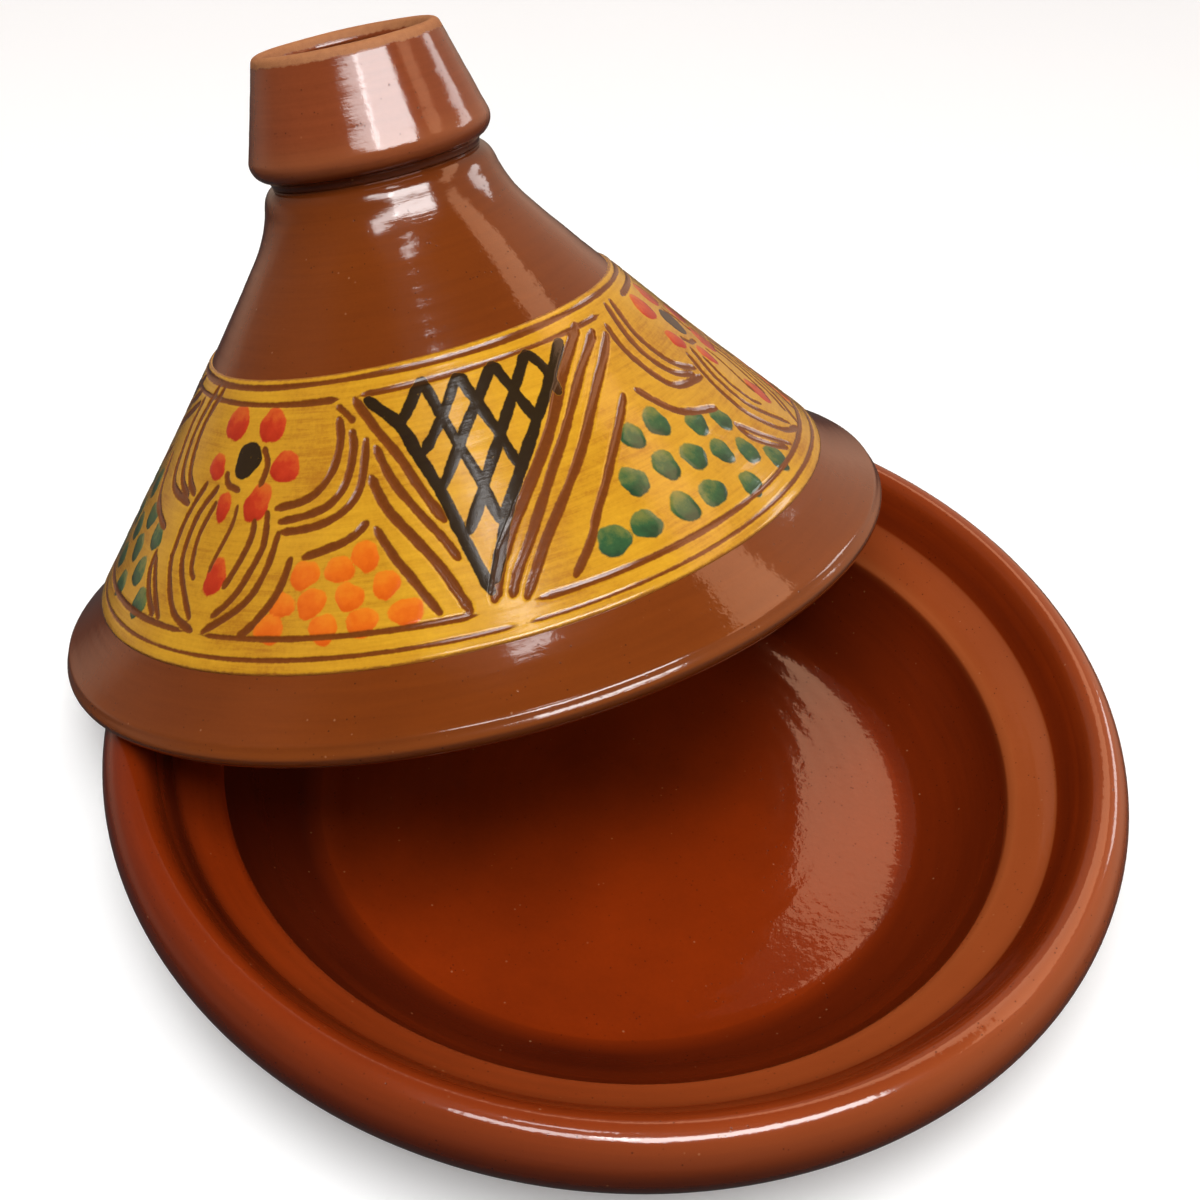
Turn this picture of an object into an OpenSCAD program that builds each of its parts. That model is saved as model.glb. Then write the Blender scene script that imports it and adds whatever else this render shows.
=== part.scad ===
// Painted cooking tagine: a shallow round dish and a conical lid with a hollow knob.
// The lid is off and leans on the dish: its rim stands on the table at one point
// and rests on the dish's rim at two. Millimetres, +Z up, origin at the centre of
// the dish's flat base.

/* [Dish] */
// Outer diameter of the dish over its rolled rim
dish_d = 300; // [280:2:320]
// Height of the dish from its base to the top of the rim
dish_h = 51.6; // [48:0.2:60]
// Thickness of the dish's floor
floor_t = 7; // [5:0.5:10]
// Diameter of the flat base that the dish stands on
base_d = 200; // [190:2:204]
// Thickness of the bowl's side wall
wall_t = 8.5; // [7:0.5:10]
// Radius of the thick rolled rim's outer side
roll_r = 14; // [12:0.5:16]
// Radius of the rounding on top of the rim
crest_r = 6; // [5:0.5:7]
// Inside diameter of the bowl at the seat's inner edge
mouth_d = 235; // [225:1:240]
// How far the sloping seat for the lid drops towards the bowl
seat_drop = 9; // [6:0.5:11]
// Angle of the bowl's side at the seat, from level
side_angle = 75; // [65:1:82]

/* [Lid] */
// Outer diameter of the lid's rim
lid_d = 257.8; // [250:0.2:260]
// Height of the lid's cone, up to the crease below the knob
cone_h = 125; // [115:1:135]
// Radius of the cone's straight side where it would meet the rim's level
cone_foot_r = 129.2; // [122:0.2:132]
// How much the cone's radius shrinks for each millimetre of height
cone_taper = 0.835; // [0.8:0.005:0.86]
// Hollow of the cone's side, against a straight line
cone_sag = 0.9; // [0:0.1:2]
// How far the brim flares out beyond the cone's straight side
brim_flare = 10; // [4:0.5:12]
// Wall thickness of the lid
lid_wall = 7; // [5:0.5:9]
// Thickness of the lid's rounded rim
lid_edge_t = 6.5; // [5:0.5:8]

/* [Knob] */
// Radius of the crease between the cone and the knob
neck_r = 30.5; // [27:0.5:33]
// Radius of the knob's rounded foot
knob_foot_r = 35.2; // [32:0.2:38]
// Radius of the knob's lip
knob_lip_r = 27.2; // [25:0.2:31]
// Height of the knob above the crease
knob_h = 35.7; // [30:0.1:42]
// Wall thickness of the knob
knob_wall = 4.6; // [3.5:0.1:6]

/* [Painted band] */
// Height of the slip band's lower edge above the lid's rim
band_low = 19.2; // [16:0.2:24]
// Height of the slip band's upper edge above the lid's rim
band_high = 82; // [76:1:88]
// Thickness of the slip
slip_t = 0.6; // [0.4:0.1:1]

/* [Leaning lid] */
// Tilt of the lid's axis from upright, in degrees
lean_angle = 23.8; // [21:0.2:26]
// Compass direction that the lid slides out to, from +X towards +Y
lean_to = 134.4; // [0:1:359]
// Gap left where the lid's rim rests on the dish's rim
rest_gap = 0.3; // [0.2:0.1:0.6]

/* [Hidden] */
$fn = 128;
ROUND_STEP = 9;                        // most degrees between the points of a rounding
JOIN = 48;                             // where the roll's outer side runs into its crest
INNER = 150;                           // where the crest runs into the rim's inner face
roll_c = [dish_d / 2 - roll_r, dish_h - crest_r - (roll_r - crest_r) * sin(JOIN)];
crest_c = roll_c + (roll_r - crest_r) * [cos(JOIN), sin(JOIN)];
mouth_r = mouth_d / 2;
seat_r = roll_c[0] - 4.5;              // corner where the seat meets the rim's inner face
seat_z = roll_c[1] + 1.4;
mouth_z = seat_z - seat_drop;
seat_slope = seat_drop / (seat_r - mouth_r);
bowl_r = (mouth_z - floor_t) / (1 - cos(side_angle));
bowl_c = [mouth_r - bowl_r * sin(side_angle), floor_t + bowl_r];
base_round = 2;                        // rounding of the base's edge
edge_r = lid_edge_t / 2;               // rounding of the lid's rim
rim_c = [lid_d / 2 - edge_r, edge_r];
flare_h = 20;                          // height over which the brim flares
shoulder_z = cone_h - 21;              // where the cone's side turns up to the neck
wall_across = lid_wall * norm([1, cone_taper]);
dome_z = cone_h - 14;                  // top of the hollow inside the cone
cup_floor = 6.5;                       // thickness of clay below the knob's cup
foot_round = 5;                        // rounding of the knob's foot
lip_round = 2;                         // rounding of the knob's lip
lid_z = rim_c[0] * sin(lean_angle) + edge_r * (1 - cos(lean_angle));

// A point at angle a on a circle
function on(c, r, a) = c + r * [cos(a), sin(a)];

// Points of an arc, ROUND_STEP degrees or less from one another
function arc(c, r, from, to) =
    let (n = max(2, ceil(abs(to - from) / ROUND_STEP)))
    [for (i = [0:n]) on(c, r, from + (to - from) * i / n)];

// Points of a curve that leaves p towards bend and arrives at q from it
function curve(p, bend, q, n = 6) =
    [for (i = [0:n]) let (t = i / n) pow(1 - t, 2) * p + 2 * t * (1 - t) * bend + t * t * q];

// Outer radius of the lid's cone at height z above its rim
function side_r(z) =
    let (u = (z - flare_h) / (shoulder_z - flare_h), low = max(0, flare_h - z) / flare_h)
    cone_foot_r - cone_taper * z
        - (u > 0 ? 4 * cone_sag * u * (1 - u) : 0)
        + brim_flare * low * low;

// Heights at which the cone's side has its points between two levels
function levels(from, to, n) = [for (i = [0:n]) from + (to - from) * i / n];
band_levels = levels(band_low, band_high, 10);

// Distance from the dish's rounded crest to the lid's rounded rim, when the
// leaning lid's centre is slid out by s
function edge_gap(s) =
    min([for (a = [30:0.5:100])
        let (along = crest_c[0] * cos(a) - s,
             across = crest_c[0] * sin(a),
             up = crest_c[1] - lid_z,
             level = along * sin(lean_angle) + up * cos(lean_angle),
             out = norm([along * cos(lean_angle) - up * sin(lean_angle), across]))
        norm([out - rim_c[0], level - rim_c[1]])]) - crest_r - edge_r;

// Slide at which the two rims are rest_gap apart, found by halving
function slide_out(low, high, n = 22) =
    let (mid = (low + high) / 2)
    n == 0 ? mid
        : edge_gap(mid) < rest_gap ? slide_out(mid, high, n - 1) : slide_out(low, mid, n - 1);

lid_slide = slide_out(62, 110);

// Puts a piece of the lid, drawn upright with its rim at z = 0, in its leaning place
module leaning() {
    translate([lid_slide * cos(lean_to), lid_slide * sin(lean_to), lid_z])
        rotate(a = lean_angle, v = [-sin(lean_to), cos(lean_to), 0])
            children();
}

// Shallow bowl with a sloping seat for the lid inside a thick rolled rim
module dish() {
    base_c = [base_d / 2 - base_round, base_round];
    wall_top = on(bowl_c, bowl_r + wall_t, -30);
    roll_foot = on(roll_c, roll_r, -80);
    color("sienna")
        rotate_extrude()
            polygon(concat(
                [[0, 0]],
                arc(base_c, base_round, -90, -30),
                arc(bowl_c, bowl_r + wall_t, -64, -30),
                curve(wall_top, [wall_top[0] + 4, roll_foot[1] + 1], roll_foot),
                arc(roll_c, roll_r, -80, JOIN),
                arc(crest_c, crest_r, JOIN, INNER),
                curve(on(crest_c, crest_r, INNER), [seat_r + 0.5, seat_z + 1.5], [seat_r - 2, seat_z - 1.4]),
                curve([mouth_r + 3, mouth_z + 3 * seat_slope], [mouth_r + 0.2, mouth_z + 0.4],
                      on(bowl_c, bowl_r, side_angle - 95)),
                arc(bowl_c, bowl_r, side_angle - 95, -90),
                [[0, floor_t]]));
}

// Cone thrown in one piece, open below and closed at the top, with a flared brim
module lid_cone() {
    top_in = side_r(shoulder_z) - wall_across;
    crease = [neck_r, cone_h];
    color("sienna")
        leaning()
            rotate_extrude()
                polygon(concat(
                    arc(rim_c, edge_r, -180, 40),
                    [for (z = levels(7, band_low - 3, 3)) [side_r(z), z]],
                    [for (z = band_levels) [side_r(z), z]],
                    [for (z = levels(band_high + 7, shoulder_z, 2)) [side_r(z), z]],
                    curve([side_r(shoulder_z + 1), shoulder_z + 1], crease + [5.1, -12], crease + [3.7, -5]),
                    curve(crease + [3.1, -3.2], crease + [1.9, -0.6], crease),
                    [[0, cone_h]],
                    curve([0, dome_z], [top_in * 0.7, dome_z], [top_in + 3, shoulder_z - 6]),
                    [for (z = [flare_h - 1:-3:8]) [side_r(z) - wall_across, z]]));
}

// Hollow cup luted on the cone: rounded foot, tapering side and a bare lip
module lid_knob() {
    crease = [neck_r, cone_h];
    foot_c = [knob_foot_r - foot_round, cone_h + 7.2];
    top_z = cone_h + knob_h;
    cup_z = cone_h + cup_floor;
    cup_r = knob_foot_r - knob_wall - 2;
    color("sienna")
        leaning()
            rotate_extrude()
                polygon(concat(
                    [[0, cone_h], crease],
                    curve(crease + [0.1, 0.6], crease + [0.2, 1.7], on(foot_c, foot_round, -75)),
                    arc(foot_c, foot_round, -66, 14),
                    arc([knob_lip_r - lip_round, top_z - lip_round], lip_round, 14, 160),
                    curve([knob_lip_r - knob_wall, top_z - 3.4], [cup_r, cone_h + knob_h * 0.55],
                          [cup_r - 3, cup_z + 5]),
                    curve([cup_r - 5, cup_z + 1.6], [cup_r - 8, cup_z], [cup_r - 13, cup_z]),
                    [[0, cup_z]]));
}

// Coat of pale slip around the cone, under the painted pattern
module slip_band() {
    out = slip_t / norm([1, cone_taper]) * [1, cone_taper];
    color("goldenrod")
        leaning()
            rotate_extrude()
                polygon(concat(
                    [for (z = band_levels) [side_r(z), z]],
                    [for (i = [len(band_levels) - 1:-1:0])
                        let (z = band_levels[i]) [side_r(z), z] + out]));
}

dish();
lid_cone();
lid_knob();
slip_band();
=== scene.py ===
# %% [markdown]
# # Painted cooking tagine
#
# A Moroccan cooking pot in two loose pieces: a shallow dish with a thick rolled rim,
# and a cone-shaped lid with a hollow knob. The lid leans on the dish. Both are thrown
# on a wheel, so each piece here is an outline turned round an axis, with the small
# unevenness that a potter's fingers leave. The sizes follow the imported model.

# %% Frame
import math

import bpy
import numpy as np
from mathutils import Matrix, Vector


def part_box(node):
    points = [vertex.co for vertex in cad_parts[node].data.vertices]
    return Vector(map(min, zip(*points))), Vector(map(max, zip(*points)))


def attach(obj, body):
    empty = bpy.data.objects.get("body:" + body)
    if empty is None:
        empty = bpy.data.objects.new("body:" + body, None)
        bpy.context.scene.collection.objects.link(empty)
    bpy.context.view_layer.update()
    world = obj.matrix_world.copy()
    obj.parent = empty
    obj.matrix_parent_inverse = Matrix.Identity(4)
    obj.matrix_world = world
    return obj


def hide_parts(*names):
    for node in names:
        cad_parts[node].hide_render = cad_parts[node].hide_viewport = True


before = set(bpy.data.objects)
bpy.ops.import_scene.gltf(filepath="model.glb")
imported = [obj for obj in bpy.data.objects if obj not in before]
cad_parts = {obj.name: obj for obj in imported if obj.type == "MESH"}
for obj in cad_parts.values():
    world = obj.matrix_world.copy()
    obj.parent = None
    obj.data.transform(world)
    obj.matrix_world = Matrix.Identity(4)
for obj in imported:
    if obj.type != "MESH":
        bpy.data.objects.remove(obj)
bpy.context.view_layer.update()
MM = 0.001

# %% [markdown]
# ## Sizes
#
# The dish's width and height are read from the model, and so is how far the lid is slid
# out. The lid's tilt and direction are typed in and match the model. The other values
# are the potter's sizes: wall thicknesses, roundings and the places
# where the outline bends. They are in millimetres, like the model's own drawing.

# %% Sizes of the dish
dish_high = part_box("dish")[1]
DISH_R = dish_high.x / MM
DISH_H = dish_high.z / MM
FLOOR_T, WALL_T, BASE_R = 7, 8.5, 100
ROLL_R, CREST_R = 14, 6
MOUTH_R, SEAT_DROP, SIDE_ANGLE = 117.5, 9, 75

# %% [markdown]
# The lid's sizes are the potter's too. Its wall is 7 mm thick, measured square to its
# slope, so level across the wall it's thicker. The band's edges are heights above the
# lid's rim.

# %% Sizes of the lid
CONE_H, CONE_FOOT_R, TAPER, SAG = 125, 129.2, 0.835, 0.9
FLARE_H, FLARE = 20, 10
EDGE_R, RIM_R = 3.25, 125.65
SLANT = math.hypot(1, TAPER)
WALL_ACROSS = 7 * SLANT
SHOULDER_Z, DOME_Z = 104, 111
NECK_R, FOOT_R, LIP_R, KNOB_H, KNOB_WALL = 30.5, 35.2, 27.2, 35.7, 4.6
CUP_FLOOR = 6.5
BAND_LOW, BAND_HIGH, SLIP_T = 19.3, 81.5, 0.6
LEAN, LEAN_TO = math.radians(23.8), math.radians(134.4)

# %% [markdown]
# ## Where the lid leans
#
# The lid's rim stands on the table at one point and rests on the dish's rim at two.
# Its tilt and compass direction match the model. How far it is slid out is read
# from the model: it is the reach of the lid's rim in that direction, less the
# part of the rim's radius that the tilt leaves level.

# %% Lid placing
out_way = Vector((math.cos(LEAN_TO), math.sin(LEAN_TO), 0))
lid_reach = max(v.co.dot(out_way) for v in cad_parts["lid_cone"].data.vertices) / MM
lid_slide = lid_reach - (RIM_R * math.cos(LEAN) + EDGE_R * math.sin(LEAN) + EDGE_R)
lid_lift = RIM_R * math.sin(LEAN) + EDGE_R * (1 - math.cos(LEAN))
lean_turn = Matrix.Rotation(LEAN, 4, Vector((-out_way.y, out_way.x, 0)))
LID_PLACE = Matrix.Translation((out_way * lid_slide + Vector((0, 0, lid_lift))) * MM) @ lean_turn
DISH_PLACE = Matrix.Identity(4)
print("lid slid out by", round(lid_slide, 2), "mm and lifted by", round(lid_lift, 2), "mm")

# %% [markdown]
# ## Outlines
#
# A turned piece is known by its outline, the shape a card template would have. Round
# stretches are arcs, and the blends between them are curves with one bend point. The
# outline is then walked at an even pace, so the clay's surface has points of equal
# spacing wherever it bends.

# %% Outline helpers
def on(centre, radius, angle):
    """A point at an angle in degrees on a circle."""
    turn = math.radians(angle)
    return (centre[0] + radius * math.cos(turn), centre[1] + radius * math.sin(turn))


def arc(centre, radius, start, end, step=3):
    """Points of an arc, a few degrees apart."""
    count = max(2, math.ceil(abs(end - start) / step))
    return [on(centre, radius, a) for a in np.linspace(start, end, count + 1)]


def curve(first, bend, last, count=12):
    """Points of a curve that leaves first towards bend and arrives at last from it."""
    first, bend, last = (np.array(p, float) for p in (first, bend, last))
    return [tuple((1 - t) ** 2 * first + 2 * t * (1 - t) * bend + t * t * last)
            for t in np.linspace(0, 1, count + 1)]


def shifted(point, dr, dz):
    """A point moved outwards by dr and up by dz."""
    return (point[0] + dr, point[1] + dz)


def even(points, count):
    """The same outline walked at an even pace, with the distance walked."""
    points = np.array(points, float)
    steps = np.hypot(*np.diff(points, axis=0).T)
    keep = np.concatenate([[True], steps > 1e-6])
    points = points[keep]
    walked = np.concatenate([[0], np.cumsum(steps[steps > 1e-6])])
    at = np.linspace(0, walked[-1], count)
    return np.stack([np.interp(at, walked, points[:, i]) for i in (0, 1)], 1), at


# %% [markdown]
# ## Throwing
#
# Thrown clay is never quite true. Fingers climbing the wall leave a spiral of shallow
# rings, and the rim wanders by a fraction of a millimetre. Both are sums of a few
# sine waves that close on themselves round the pot, so there is no seam. The rings
# run round the pot, and the slow part is what makes a reflection wander.

# %% Hand-thrown unevenness
def rings(walked, around, rng, depth, count=6):
    """Shallow finger rings that climb as a spiral, in mm."""
    total = np.zeros(np.broadcast(walked, around).shape)
    for _ in range(count):
        length = rng.uniform(4.5, 15)
        climb = rng.integers(0, 3)
        size = rng.uniform(0.4, 1) * (0.6 + 0.4 * np.sin(around + rng.uniform(0, 6.28)))
        total += size * np.sin(walked * 2 * np.pi / length + climb * around + rng.uniform(0, 6.28))
    return depth * total / count ** 0.5


def drift(walked, around, rng, depth, count=9):
    """Slow wandering of the wall round the pot, in mm."""
    total = np.zeros(np.broadcast(walked, around).shape)
    for _ in range(count):
        turns = rng.integers(1, 7)
        length = rng.uniform(35, 120)
        wave = np.sin(turns * around + rng.uniform(0, 6.28))
        total += wave * np.sin(walked * 2 * np.pi / length + rng.uniform(0, 6.28)) / turns ** 0.7
    return depth * total / count ** 0.5


# %% [markdown]
# ## Turning an outline
#
# The outline is turned round the axis in even steps. Where it starts and ends on the
# axis, one point closes the middle. Each piece keeps three facts about every point
# for its glaze: its place on the upright pot, how much paler its glaze is made there,
# as thin glaze on an edge and as painted light, and how much darker, as pooled glaze
# in a hollow and as painted shade. The colours need them.

# %% Lathe
def turned(name, outline, columns, place, rng, ring_depth, drift_depth, calm, thin, pool_and_shade,
           lit_side=np.ones_like, shaded_side=np.ones_like):
    """A closed solid of an outline that starts and ends on the axis."""
    points, walked = outline
    way = np.gradient(points, axis=0)
    way /= np.maximum(np.hypot(*way.T)[:, None], 1e-9)
    normal = np.stack([way[:, 1], -way[:, 0]], 1)
    around = np.linspace(0, 2 * np.pi, columns, endpoint=False)
    off = rings(walked[:, None], around[None], rng, ring_depth)
    off += drift(walked[:, None], around[None], rng, drift_depth)
    off *= calm(points)[:, None]
    radius = points[:, :1] + normal[:, :1] * off
    height = points[:, 1:] + normal[:, 1:] * off
    xyz = np.stack([radius * np.cos(around), radius * np.sin(around),
                    np.broadcast_to(height, radius.shape)], 2)
    facts = {"thin": thin(points)[:, None] * lit_side(around),
             "pool_and_shade": pool_and_shade(points)[:, None] * shaded_side(around)}
    return closed_turning(name, xyz, facts, place)


def closed_turning(name, xyz, facts, place):
    """The mesh of a turned grid whose first and last rows lie on the axis."""
    rows, columns = xyz.shape[:2]
    body = xyz[1:-1].reshape(-1, 3)
    verts = np.concatenate([xyz[:1, 0], body, xyz[-1:, 0]])
    index = 1 + np.arange((rows - 2) * columns).reshape(rows - 2, columns)
    right = np.roll(index, -1, 1)
    quads = np.stack([index[:-1], right[:-1], right[1:], index[1:]], 2).reshape(-1, 4)
    first = [(0, int(b), int(a)) for a, b in zip(index[0], right[0])]
    last = [(len(verts) - 1, int(a), int(b)) for a, b in zip(index[-1], right[-1])]
    faces = first + [tuple(map(int, q)) for q in quads] + last
    made = mesh_object(name, verts, faces, place)
    for fact_name, values in facts.items():
        inner = np.broadcast_to(values, (rows, columns))[1:-1]
        fact(made, fact_name, np.concatenate([[0], inner.ravel(), [0]]))
    return made


def mesh_object(name, verts, faces, place):
    """An object from points in mm, kept upright in the fact 'own' and put in its place."""
    data = bpy.data.meshes.new(name)
    upright = np.array(verts, float)
    data.from_pydata([tuple(v) for v in upright * MM], [], faces)
    made = bpy.data.objects.new(name, data)
    bpy.context.scene.collection.objects.link(made)
    own = data.attributes.new("own", "FLOAT_VECTOR", "POINT")
    own.data.foreach_set("vector", upright.astype(np.float32).ravel())
    data.transform(place)
    data.shade_smooth()
    print(name, "has", len(data.vertices), "points and", len(data.polygons), "faces")
    return made


def fact(made, name, values):
    """Keeps one number for each point of a piece, for its material."""
    kept = made.data.attributes.new(name, "FLOAT", "POINT")
    kept.data.foreach_set("value", np.asarray(values, np.float32).ravel())


# %% [markdown]
# ## The dish
#
# The dish is a shallow bowl inside a thick rolled rim. Between them a sloping ledge
# takes the lid's rim, and a valley runs round it where the ledge meets the roll. The
# outer wall stays close under the roll and comes in to a flat base.

# %% Dish outline
JOIN, INNER = 48, 150
roll_c = (DISH_R - ROLL_R, DISH_H - CREST_R - (ROLL_R - CREST_R) * math.sin(math.radians(JOIN)))
crest_c = on(roll_c, ROLL_R - CREST_R, JOIN)
seat_r, seat_z = roll_c[0] - 4.5, roll_c[1] + 1.4
mouth_z = seat_z - SEAT_DROP
seat_slope = SEAT_DROP / (seat_r - MOUTH_R)
bowl_r = (mouth_z - FLOOR_T) / (1 - math.cos(math.radians(SIDE_ANGLE)))
bowl_c = (MOUTH_R - bowl_r * math.sin(math.radians(SIDE_ANGLE)), FLOOR_T + bowl_r)
wall_top = on(bowl_c, bowl_r + WALL_T, -30)
roll_foot = on(roll_c, ROLL_R, -80)
dish_outline = (
    [(0, 0)]
    + arc((BASE_R - 2, 2), 2, -90, -30)
    + arc(bowl_c, bowl_r + WALL_T, -64, -30)
    + curve(wall_top, (wall_top[0] + 4, roll_foot[1] + 1), roll_foot)
    + arc(roll_c, ROLL_R, -80, JOIN)
    + arc(crest_c, CREST_R, JOIN, INNER)
    + curve(on(crest_c, CREST_R, INNER), (seat_r + 0.5, seat_z + 1.5), (seat_r - 2, seat_z - 1.4))
    + curve((MOUTH_R + 3, mouth_z + 3 * seat_slope), (MOUTH_R + 0.2, mouth_z + 0.4),
            on(bowl_c, bowl_r, SIDE_ANGLE - 95))
    + arc(bowl_c, bowl_r, SIDE_ANGLE - 95, -90)
    + [(0, FLOOR_T)])

# %% [markdown]
# The foot of the dish stays true, because the potter wipes it flat on the wheel and
# it stands on the table. Everything above it carries the unevenness of throwing.

# %% Dish
def calm_foot(points):
    """No unevenness on the base, and all of it a few millimetres above."""
    above = np.clip((points[:, 1] - 1.5) / 5, 0, 1)
    return above * np.clip(points[:, 0] / 15, 0, 1)


def bump_at(points, centre, reach):
    """1 at a place on the outline, falling to 0 some millimetres away."""
    return np.exp(-(np.hypot(points[:, 0] - centre[0], points[:, 1] - centre[1]) / reach) ** 2)


def painted_light_on_dish(points):
    """Paler glaze on the rim's outer side and top, the ledge and its inner corner: thin glaze at
    the edges, and painted light, painted reflection and painted highlight.
    """
    radius, height = points.T
    inside = height > 1.05 * FLOOR_T
    ledge = (radius > MOUTH_R) & (radius < seat_r - 2) & (height < seat_z) & (height > mouth_z - 1)
    outer = 0.85 * np.clip((radius - roll_c[0] - 5) / 6, 0, 1)
    return outer + inside * np.maximum(0.4 * bump_at(points, (crest_c[0], DISH_H), 5),
                                       ledge * 0.75 + 0.7 * bump_at(points, (MOUTH_R, mouth_z), 2))


def painted_light_on_right(around):
    """Painted light: the paler glaze is strongest on the right, where the light falls."""
    return np.clip(0.42 + 0.6 * np.cos(around + math.radians(10)), 0, 1)


def painted_shade_on_left(around):
    """Painted shade: the darker glaze is strongest on the left and at the front."""
    return np.clip(0.85 - 0.35 * np.cos(around - math.radians(20)), 0, 1)


def painted_shade_in_dish(points):
    """Painted shade: darker glaze in the valley behind the ledge, on the bowl's wall and under the
    rim.
    """
    radius, height = points.T
    valley = bump_at(points, (seat_r + 1, seat_z + 1), 4.5)
    wall = np.clip((radius - 88) / 8, 0, 1) * (height > FLOOR_T + 0.4) * (height < mouth_z - 1)
    wall = wall * (radius < MOUTH_R + 0.5)
    under = np.clip((roll_c[1] + 14 - height) / 13, 0, 1) * (radius > MOUTH_R + 6)
    return np.clip(valley + 0.97 * wall + 0.8 * under * (radius > seat_r + 3), 0, 1)


# On the dish the paler glaze is painted light and painted reflection, brightest on the right, and
# the darker glaze is painted shade, heaviest on the left and at the front.
dish = turned("dish_clay", even(dish_outline, 560), 256, DISH_PLACE, np.random.default_rng(11),
              0.055, 0.42, calm_foot, painted_light_on_dish, painted_shade_in_dish, painted_light_on_right,
              painted_shade_on_left)
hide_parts("dish")
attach(dish, "dish")

# %% [markdown]
# ## The lid's cone
#
# The cone is thrown in one piece upside down and closed at the top, with a brim that
# flares a little at the rim. Its straight side has a slight hollow, and near the top
# it turns up to the neck under the knob.

# %% Cone outline
def side_r(z):
    """Outer radius of the lid's cone at a height above its rim."""
    z = np.asarray(z, float)
    u = (z - FLARE_H) / (SHOULDER_Z - FLARE_H)
    low = np.maximum(0, FLARE_H - z) / FLARE_H
    return CONE_FOOT_R - TAPER * z - np.where(u > 0, 4 * SAG * u * (1 - u), 0) + FLARE * low * low


def side(low, high, step, inset=0):
    """Points up or down the cone's side, between two heights."""
    count = max(2, round(abs(high - low) / step))
    return [(float(side_r(z)) - inset, z) for z in np.linspace(low, high, count + 1)]


crease = (NECK_R, CONE_H)
dome_r = float(side_r(SHOULDER_Z)) - WALL_ACROSS
cone_outline = (
    [(0, DOME_Z)]
    + curve((0, DOME_Z), (dome_r * 0.7, DOME_Z), (dome_r + 3, SHOULDER_Z - 6))[1:]
    + side(FLARE_H - 1, 8, 2, WALL_ACROSS)
    + arc((RIM_R, EDGE_R), EDGE_R, -180, 40)
    + side(7, SHOULDER_Z, 2)
    + curve(side(SHOULDER_Z + 1, SHOULDER_Z + 2, 1)[0], shifted(crease, 5.1, -12),
            shifted(crease, 3.7, -5))
    + curve(shifted(crease, 3.1, -3.2), shifted(crease, 1.9, -0.6), crease)
    + [(0, CONE_H)])

# %% [markdown]
# The rim stays nearly true, since it has to sit on the dish, and so does the flat
# place where the knob is stuck on.

# %% Cone
def calm_rim(points):
    """Little unevenness at the rim and none under the knob."""
    under_knob = (points[:, 0] < NECK_R + 1) & (points[:, 1] > CONE_H - 1)
    return np.where(under_knob, 0, np.clip(0.25 + points[:, 1] / 25, 0, 1))


def thin_on_cone(points):
    """Thin glaze on the rim's rounded edge."""
    return 0.35 * bump_at(points, (RIM_R + EDGE_R, EDGE_R), 4)


def darker_on_cone(points):
    """Darker glaze in the crease under the knob, and all over the inside."""
    inside = points[:, 0] < side_r(points[:, 1]) - 4
    return np.clip(0.7 * bump_at(points, crease, 4) + 0.6 * inside, 0, 1)


cone = turned("lid_cone_clay", even(cone_outline, 520), 256, LID_PLACE,
              np.random.default_rng(21), 0.05, 0.16, calm_rim, thin_on_cone, darker_on_cone)
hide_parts("lid_cone")
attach(cone, "lid")

# %% [markdown]
# ## The knob
#
# The knob is a hollow cup stuck on top of the cone, with a rounded foot that hangs a
# little over the crease, sides that come in towards the top, and a rounded lip. It
# stays cool enough to hold, and the cup takes a spoonful of cold water.

# %% Knob
KNOB_TOP = CONE_H + KNOB_H
cup_r, cup_z = FOOT_R - KNOB_WALL - 2, CONE_H + CUP_FLOOR
FOOT_ROUND = 5
foot_c = (FOOT_R - FOOT_ROUND, CONE_H + 7.2)
knob_outline = (
    [(0, CONE_H), crease]
    + curve(shifted(crease, 0.1, 0.6), shifted(crease, 0.2, 1.7), on(foot_c, FOOT_ROUND, -75))
    + arc(foot_c, FOOT_ROUND, -66, 14)
    + arc((LIP_R - 2, KNOB_TOP - 2), 2, 14, 160)
    + curve((LIP_R - KNOB_WALL, KNOB_TOP - 3.4), (cup_r, CONE_H + KNOB_H * 0.55),
            (cup_r - 3, cup_z + 5))
    + curve((cup_r - 5, cup_z + 1.6), (cup_r - 8, cup_z), (cup_r - 13, cup_z))
    + [(0, cup_z)])


def calm_joint(points):
    """None where the knob meets the cone."""
    return np.clip((points[:, 1] - CONE_H) / 4, 0, 1) * np.clip(points[:, 0] / 12, 0, 1)


def thin_on_knob(points):
    """Thin glaze on the turn of the foot."""
    return 0.4 * bump_at(points, (FOOT_R, foot_c[1] + 1), 4)


def dark_crease_and_shaded_cup(points):
    """Darker glaze where the foot tucks in, and painted shade inside the cup."""
    # Painted shade: the cup's inside is darkened from a little below the lip downwards.
    cup = (points[:, 0] < LIP_R - KNOB_WALL + 1) * np.clip((KNOB_TOP - 3 - points[:, 1]) / 8, 0, 1)
    return np.clip(0.7 * bump_at(points, crease, 4) + cup, 0, 1)


knob = turned("lid_knob_clay", even(knob_outline, 300), 200, LID_PLACE,
              np.random.default_rng(35), 0.05, 0.2, calm_joint, thin_on_knob, dark_crease_and_shaded_cup)
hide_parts("lid_knob")
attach(knob, "lid")
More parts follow.
